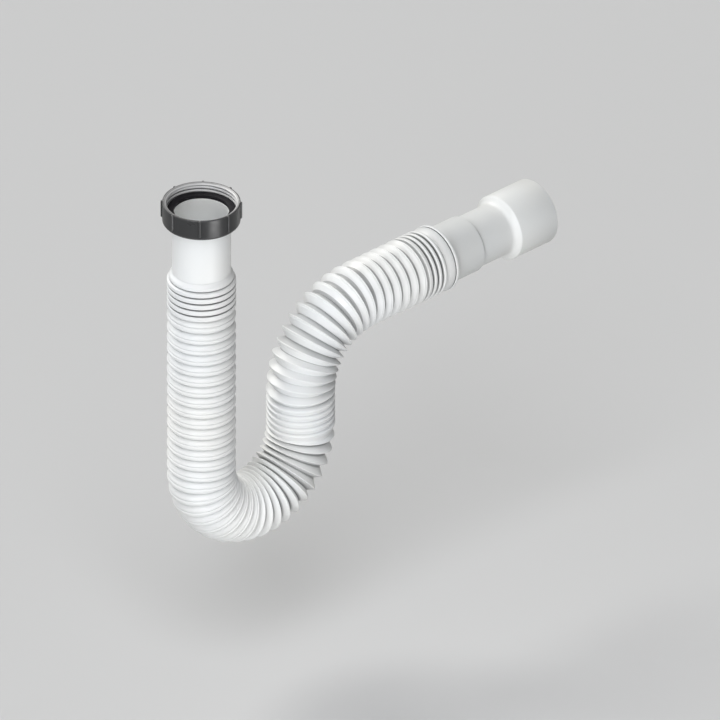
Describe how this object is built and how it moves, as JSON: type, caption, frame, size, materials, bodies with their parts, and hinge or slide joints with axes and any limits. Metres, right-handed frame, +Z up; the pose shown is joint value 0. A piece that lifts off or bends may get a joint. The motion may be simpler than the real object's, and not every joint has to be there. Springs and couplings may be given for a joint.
{
  "type": "flexible waste pipe",
  "caption": "Extendable corrugated waste pipe bent into a trap, with a union nut and rubber washer at the inlet and a stepped spigot at the outlet.",
  "frame": {"origin": "centre of the sealing washer's top face, where the pipe meets the waste outlet above it", "axes": "+Z up along the inlet, against the flow; the hose lies in the XZ plane and the outlet points along +X"},
  "size_m": [0.3629, 0.06, 0.3026],
  "materials": {
    "nut_plastic": "satin moulded",
    "washer_rubber": "matte",
    "sleeve_plastic": "satin moulded",
    "hose_plastic": "satin blown",
    "outlet_plastic": "satin moulded"
  },
  "bodies": {
    "inlet": {"inlet_sleeve": "sleeve_plastic", "sealing_washer": "washer_rubber"},
    "nut": {"coupling_nut": "nut_plastic"},
    "hose": {"corrugated_hose": "hose_plastic"},
    "outlet": {"outlet_sleeve": "outlet_plastic", "outlet_adaptor": "outlet_plastic"}
  },
  "joints": [
    {"name": "nut_spin", "type": "hinge", "parent": "inlet", "child": "nut", "pos_m": [0, 0, 0], "axis": [0, 0, 1], "continuous": true},
    {"name": "leg_extend", "type": "slide", "parent": "inlet", "child": "hose", "axis": [0, 0, -1], "range_m": [-0.05, 0.03], "deforming": ["corrugated_hose"]},
    {"name": "outlet_flex", "type": "hinge", "parent": "hose", "child": "outlet", "pos_m": [0.1648, 0, -0.1358], "axis": [0, 1, 0], "range_deg": [-30, 30], "deforming": ["corrugated_hose"]}
  ]
}
